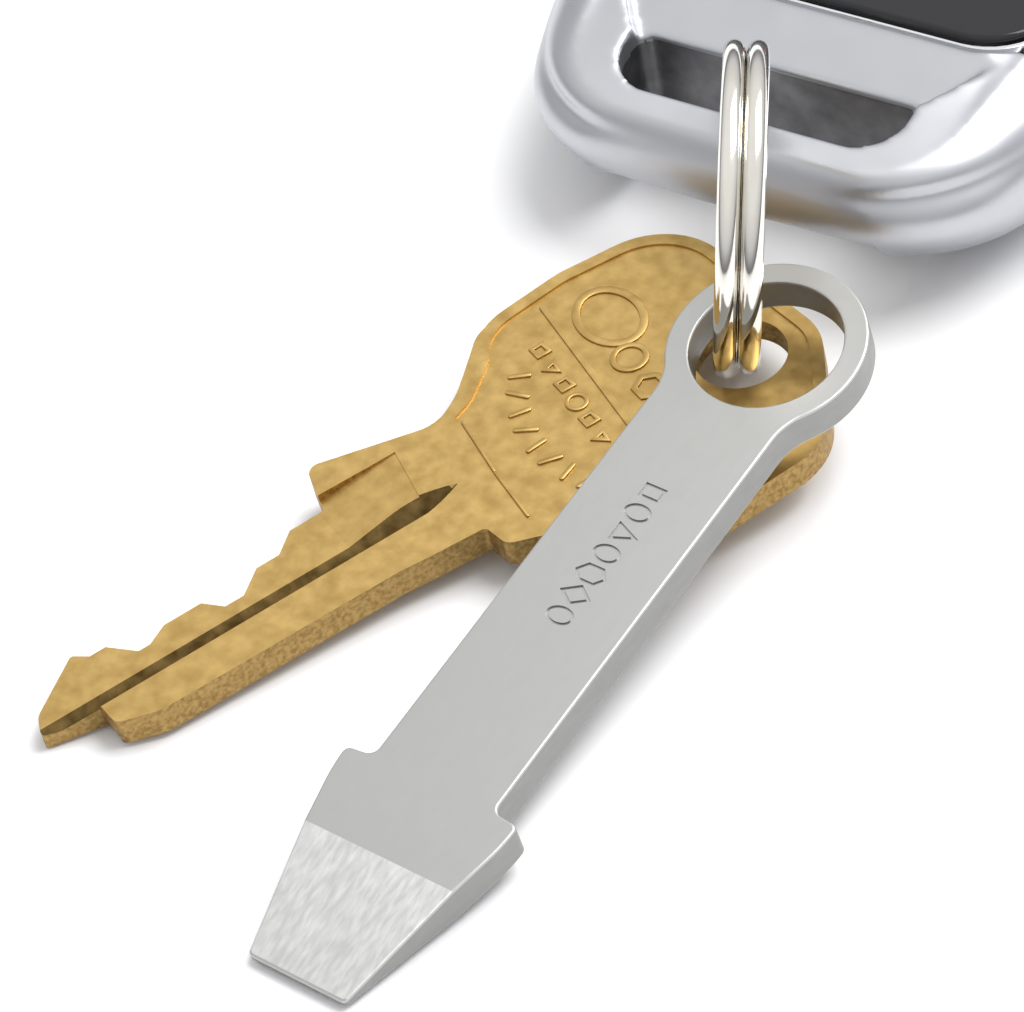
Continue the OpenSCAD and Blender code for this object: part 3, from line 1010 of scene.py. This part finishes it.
# The walls deep in the slot are painted dark grey: painted shade inside the slot, with a cast relief
# on top.
slot_painted_shade = new_finish("slot_painted_shade", (0.2, 0.2, 0.21), 1.0, 0.38)
cast_and_shade_mottle = grain(slot_painted_shade, 500, detail=4)
shade_between(slot_painted_shade, cast_and_shade_mottle, 0.3, 0.7, (0.15, 0.15, 0.16), (0.25, 0.25, 0.26))
add_relief(slot_painted_shade, cast_and_shade_mottle, 0.02, 0.4)
wear(end_frame, satin_chrome, slot_painted_shade)


def in_slot(face):
    """The walls of the slot, below its rounded edge, which are painted dark as shade."""
    at = face.calc_center_median()
    inside = abs(at.x) < SLOT_HALF + 0.15 and BAR_BACK_Y - 0.15 < at.y < SLOT_BACK_Y + 0.15
    return inside and at.z < 9.75 - 0.12 * (SLOT_Y - at.y) and abs(face.normal.z) < 0.7


print("slot faces:", paint(end_frame, 1, in_slot))
settle(end_frame, "fob", ["end_frame"], smooth=60)

# %% [markdown]
# ### Shells
# Behind the end frame the case is two moulded shells with metallic paint. Both are cut from the
# same form, a hair's breadth apart, and hollowed by the same form drawn smaller, so that the
# push buttons and the emergency key have room to move inside.

# %% Outline of the panel and round cutters
LEDGE_Z = 11.2
PANEL_BACK_Y = 34.5


def panel_outline(inset):
    """Corners of the glossy panel, smaller by an inset."""
    front = (15.5 - inset, PANEL_FRONT_Y - 0.2 + inset, 4.5)
    back = (17.2 - inset, PANEL_BACK_Y - inset, 8.0)
    return [front, back, (-back[0], *back[1:]), (-front[0], *front[1:])]


def rod(radius, x, y, low, high, vertices=64):
    """A round cutter or pin standing on z."""
    let_go()
    bpy.ops.mesh.primitive_cylinder_add(
        vertices=vertices, radius=radius, depth=high - low, location=(x, y, (low + high) / 2)
    )
    pin = bpy.context.object
    bpy.ops.object.transform_apply(location=True, rotation=False, scale=False)
    return pin


# %% Upper shell
GAP = 0.06
WALL = 1.5


def hollow_form(low, high):
    """The room inside the case between two heights."""
    room = case_form("room", WALL)
    keep_side(room, (0, 0, high), (0, 0, 1))
    keep_side(room, (0, 0, low), (0, 0, -1))
    keep_side(room, (0, FRAME_BACK_Y + 1.4, 0), (0, -1, 0))
    return room


upper = copy_of(case, "upper_shell_moulding")
keep_side(upper, (0, FRAME_BACK_Y + GAP, 0), (0, -1, 0))
keep_side(upper, (0, 0, SEAM_Z + GAP), (0, 0, -1))
carve(upper, hollow_form(SEAM_Z - 1, LEDGE_Z - 1.2))
carve(upper, plate("opening", panel_outline(2.2), 20, 12))
carve(upper, plate("seat", panel_outline(-0.05), 20, 20 - LEDGE_Z))

# %% [markdown]
# The lower shell is cut for what it carries: the round battery cover and its seat, two screws
# near the end frame, and the mouth that the emergency key slides out of.

# %% Lower shell
CELL_AT = (-4.5, 8)
CELL_HOLE_R = 10.4
COVER_SEAT_R = 11.4
COVER_SEAT_Z = 0.85
SCREW_X = 10
SCREW_HOLE_R = 1.0
BLADE_X = 10.8
BLADE_ROOM = 4.2

lower = copy_of(case, "lower_shell_moulding")
keep_side(lower, (0, FRAME_BACK_Y + GAP, 0), (0, -1, 0))
keep_side(lower, (0, 0, SEAM_Z), (0, 0, 1))
carve(lower, hollow_form(WALL, SEAM_Z + 1))
carve(lower, rod(CELL_HOLE_R, *CELL_AT, -1, 4))
carve(lower, rod(COVER_SEAT_R, *CELL_AT, -1, COVER_SEAT_Z, 96))
for side in (-1, 1):
    carve(lower, rod(SCREW_HOLE_R, side * SCREW_X, FRAME_BACK_Y + 2.6, -1, 8, 32))
carve(lower, block((BLADE_X - BLADE_ROOM, 30.2, 2), (BLADE_X + BLADE_ROOM, 42, 6)))

# %% Parting lines
for shell in (upper, lower):
    print(shell.name, "edges softened:", soften(shell, 0.12, lambda e: is_sharp(e, 50)))
bpy.data.objects.remove(case)

# %% [markdown]
# Metallic paint is a metal flake under clear lacquer: a fine speckle of two greys, and a coat
# that is glossier than the flake below it.

# %% Painted finish
silver_paint = new_finish(
    "silver_paint", (0.6, 0.61, 0.64), 0.85, 0.32, Coat_Weight=0.5, Coat_Roughness=0.12
)
flake = grain(silver_paint, 5000, detail=2)
shade_between(silver_paint, flake, 0.35, 0.65, (0.48, 0.49, 0.515), (0.58, 0.59, 0.615))
vary_gloss(silver_paint, grain(silver_paint, 120), 0.28, 0.36)
wear(upper, silver_paint)
wear(lower, silver_paint)
settle(upper, "fob", ["upper_shell"], smooth=35)
settle(lower, "fob", ["lower_shell"], smooth=35)

# %% [markdown]
# ### Panel and buttons
# A glossy black panel lies in the top in a thin bright trim. Three push buttons stand in windows in
# it, each with a plain raised sign that a thumb can feel: a dot, a ring and a bar.

# %% Gloss and trim finishes
gloss_black = new_finish("gloss_black", (0.016, 0.016, 0.018), 0.0, 0.09, Specular_IOR_Level=0.32)
vary_gloss(gloss_black, grain(gloss_black, 60), 0.07, 0.13)
add_relief(gloss_black, grain(gloss_black, 350, detail=2), 0.004, 0.2)
bright_trim = new_finish("bright_trim", (0.85, 0.86, 0.88), 1.0, 0.1)
vary_gloss(bright_trim, grain(bright_trim, 300), 0.08, 0.16)
sign_grey = new_finish("sign_grey", (0.62, 0.62, 0.64), 0.0, 0.35)
vary_gloss(sign_grey, grain(sign_grey, 800), 0.3, 0.42)
print("finishes so far:", len(bpy.data.materials))

# %% Panel
PANEL_Z = 12.9
BUTTON_Y = (-12, 2, 16)
BUTTON_HALF = (7.5, 4.5)
BUTTON_R = 2.5
BUTTON_TOP = 13.0
TRIM_Z = 12.48
BUTTON_GAP = 0.3


def button_outline(y, grow):
    """Corners of a button or its window."""
    w, h = BUTTON_HALF[0] + grow, BUTTON_HALF[1] + grow
    sides = ((w, y - h), (w, y + h), (-w, y + h), (-w, y - h))
    return [(*corner, BUTTON_R) for corner in sides]


trim = plate("panel_trim_frame", panel_outline(0.05), TRIM_Z, TRIM_Z - LEDGE_Z, 10)
carve(trim, plate("inside", panel_outline(0.3), 20, 20, 10))
soften(trim, 0.08, lambda e: is_sharp(e, 50))

panel = plate("front_panel_gloss", panel_outline(0.45), PANEL_Z, PANEL_Z - LEDGE_Z, 10)
soften(panel, 0.4, lambda e: is_sharp(e, 50) and middle(e).z > PANEL_Z - 0.1, 4)
for y in BUTTON_Y:
    carve(panel, plate("window", button_outline(y, BUTTON_GAP), 20, 20))
carve(panel, rod(0.9, 0, -21, 5, 20, 32))
soften(panel, 0.1, lambda e: is_sharp(e, 70) and middle(e).z > PANEL_Z - 0.1)

# %% Signs on the buttons
SIGN_TOP = BUTTON_TOP + 0.12
SIGN_T = 0.6


def dot_sign(y):
    """A round dot."""
    return rod(1.1, 0, y, 12.5, SIGN_TOP, 48)


def ring_sign(y):
    """A ring."""
    return lift(outline_mark(48, 1.8, 0.5, (0, y), depth=SIGN_T), SIGN_TOP - SIGN_T / 2)


def bar_sign(y):
    """A bar across the button."""
    ends = ((3, y - 0.45), (3, y + 0.45), (-3, y + 0.45), (-3, y - 0.45))
    return plate("bar", [(*end, 0.4) for end in ends], SIGN_TOP, SIGN_T)


# %% [markdown]
# A button is a cap with a rounded top and, hidden under the panel, a wider flange that keeps it
# from falling out of its window.

# %% Buttons
FLANGE_TOP = 11.1
button_plan = (
    ("lock_button", BUTTON_Y[0], dot_sign),
    ("unlock_button", BUTTON_Y[1], ring_sign),
    ("boot_button", BUTTON_Y[2], bar_sign),
)
buttons = []
for name, y, sign_of in button_plan:
    button = plate(name + "_cap", button_outline(y, 0), BUTTON_TOP, BUTTON_TOP - 11.15)
    soften(button, 0.35, lambda e: is_sharp(e, 50) and middle(e).z > BUTTON_TOP - 0.1, 4)
    flange = plate("flange", button_outline(y, 0.85), FLANGE_TOP, 1.1)
    sign = sign_of(y)
    soften(sign, 0.06, lambda e: is_sharp(e, 50) and middle(e).z > BUTTON_TOP + 0.1)
    wear(button, gloss_black)
    wear(sign, sign_grey)
    buttons.append((name, join([button, flange, sign])))
print("buttons:", [name for name, button in buttons])

# %% Panel pieces in place
wear(trim, bright_trim)
wear(panel, gloss_black)
settle(trim, "fob", ["panel_trim"])
settle(panel, "fob", ["front_panel"])
for name, button in buttons:
    settle(button, name, [name])

# %% [markdown]
# ### Smaller pieces that can be seen
# The lens, the battery cover, the screws and the emergency key keep the shape that the engineering
# model gives them. A copy of each is merged, its edges are broken with a small bevel, and it
# is shaded smooth, as its moulded or turned original is.

# %% Finer copies
def refine(node, edge_mm):
    """A copy of an engineering node with merged points and softened edges, still in metres."""
    piece = copy_of(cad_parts[node], node + "_fine")
    piece.parent = None
    edit(piece)
    bpy.ops.mesh.remove_doubles(threshold=1e-6)
    bpy.ops.mesh.select_all(action="SELECT")
    bpy.ops.mesh.dissolve_limited(angle_limit=math.radians(1))
    if edge_mm:
        pick(piece, "EDGE", lambda e: is_sharp(e, 40))
        bpy.ops.mesh.bevel(offset=edge_mm * MM, segments=2, affect="EDGES", clamp_overlap=True)
    let_go()
    hold(piece)
    bpy.ops.object.shade_smooth_by_angle(angle=math.radians(32))
    for key in list(piece.keys()):
        del piece[key]
    return piece


frosted_red = new_finish("frosted_red", (0.55, 0.03, 0.02), 0.0, 0.25, Coat_Weight=0.4)
vary_gloss(frosted_red, grain(frosted_red, 2000), 0.2, 0.35)
bright_steel = new_finish("bright_steel", (0.6, 0.59, 0.57), 1.0, 0.25)
vary_gloss(bright_steel, grain(bright_steel, 1200, (5, 1, 1)), 0.2, 0.32)
add_relief(bright_steel, grain(bright_steel, 2500), 0.006, 0.3)
black_moulded = new_finish("black_moulded", (0.03, 0.03, 0.032), 0.0, 0.45)
spark = grain(black_moulded, 3500, detail=3)
vary_gloss(black_moulded, spark, 0.4, 0.52)
add_relief(black_moulded, spark, 0.02, 0.5)

for node, body, edge_mm, slot, finish in (
    ("status_lens", "fob", 0.08, "lens_red", frosted_red),
    ("battery_cover", "fob", 0.1, "silver_shell", silver_paint),
    ("case_screws", "fob", 0.05, "spring_steel", bright_steel),
    ("emergency_blade", "emergency_key", 0.1, "spring_steel", bright_steel),
    ("blade_head", "emergency_key", 0.15, "black_plastic", black_moulded),
):
    piece = refine(node, edge_mm)
    wear(piece, finish)
    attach(piece, body)
    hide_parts(node)
    print(node, "refined to", len(piece.data.polygons), "faces")

# %% [markdown]
# ### Inside the case
# What lies inside is hardly ever seen, so its engineering shape stays and only the finish is new.

# %% Finishes for the inner parts
rubber = new_finish("rubber", (0.03, 0.03, 0.03), 0.0, 0.75)
add_relief(rubber, grain(rubber, 2500), 0.02, 0.5)
board_green = new_finish("board_green", (0.02, 0.16, 0.06), 0.0, 0.35, Coat_Weight=0.3)
etched = grain(board_green, 500)
shade_between(board_green, etched, 0.45, 0.55, (0.015, 0.12, 0.045), (0.03, 0.2, 0.08))
chip_black = new_finish("chip_black", (0.03, 0.03, 0.035), 0.0, 0.5)
add_relief(chip_black, grain(chip_black, 4000), 0.01, 0.4)
copper = new_finish("copper_wire", (0.6, 0.25, 0.1), 1.0, 0.3)
vary_gloss(copper, grain(copper, 3000, (1, 10, 1)), 0.22, 0.4)
cell_steel = new_finish("cell_steel", (0.62, 0.62, 0.64), 1.0, 0.22)
vary_gloss(cell_steel, grain(cell_steel, 900, (5, 1, 1)), 0.18, 0.3)

inner_finishes = {
    rubber: ("keypad_membrane", "cover_seal", "case_gasket"),
    board_green: ("circuit_board",),
    chip_black: ("board_components",),
    bright_steel: ("dome_switches", "battery_clip", "battery_spring", "blade_detent"),
    copper: ("antenna_coil",),
    cell_steel: ("coin_cell",),
    black_moulded: ("blade_guide",),
}
for finish, nodes in inner_finishes.items():
    for node in nodes:
        wear(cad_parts[node], finish)
print("inner nodes finished:", sum(len(n) for n in inner_finishes.values()))

# %% [markdown]
# ## Floor and light
# Small bright products are shown on a white table in even light. The world is a soft dome, darker
# towards the horizon all round so that metal has something to reflect, and one wide lamp gives a
# soft shadow under each piece.

# %% Floor
let_go()
bpy.ops.mesh.primitive_plane_add(size=3, location=(0, 0, -0.0002))
floor = bpy.context.object
floor.name = "table"
table_white = new_finish("table_white", (0.84, 0.84, 0.85), 0.0, 0.8)
vary_gloss(table_white, grain(table_white, 40), 0.75, 0.85)
wear(floor, table_white)
print("table:", floor.name)

# %% Light
dome = bpy.data.worlds.new("dome")
bpy.context.scene.world = dome
dome.use_nodes = True
tree = dome.node_tree
sky = tree.nodes["Background"]
where = tree.nodes.new("ShaderNodeTexCoord")
split = tree.nodes.new("ShaderNodeSeparateXYZ")
ramp = tree.nodes.new("ShaderNodeValToRGB")
tree.links.new(where.outputs["Generated"], split.inputs["Vector"])
tree.links.new(split.outputs["Z"], ramp.inputs["Fac"])
tree.links.new(ramp.outputs["Color"], sky.inputs["Color"])
tones = ramp.color_ramp.elements
tones[0].position, tones[0].color = 0.0, (0.13, 0.13, 0.14, 1)
tones[1].position, tones[1].color = 0.7, (1, 1, 1, 1)
mid_tone = tones.new(0.28)
mid_tone.color = (0.72, 0.73, 0.76, 1)
sky.inputs["Strength"].default_value = 0.95


def lamp(name, place, size, power):
    """A square soft lamp aimed at the bunch."""
    let_go()
    spot = Vector(place)
    aim = (CAMERA_AIM - spot).to_track_quat("-Z", "Y")
    bpy.ops.object.light_add(type="AREA", location=spot, rotation=aim.to_euler())
    light = bpy.context.object
    light.name = name
    light.data.size = size
    light.data.energy = power


lamp("wide_lamp", (0.2, 0.25, 0.6), 0.5, 5.5)
bpy.context.scene.view_settings.view_transform = "Standard"
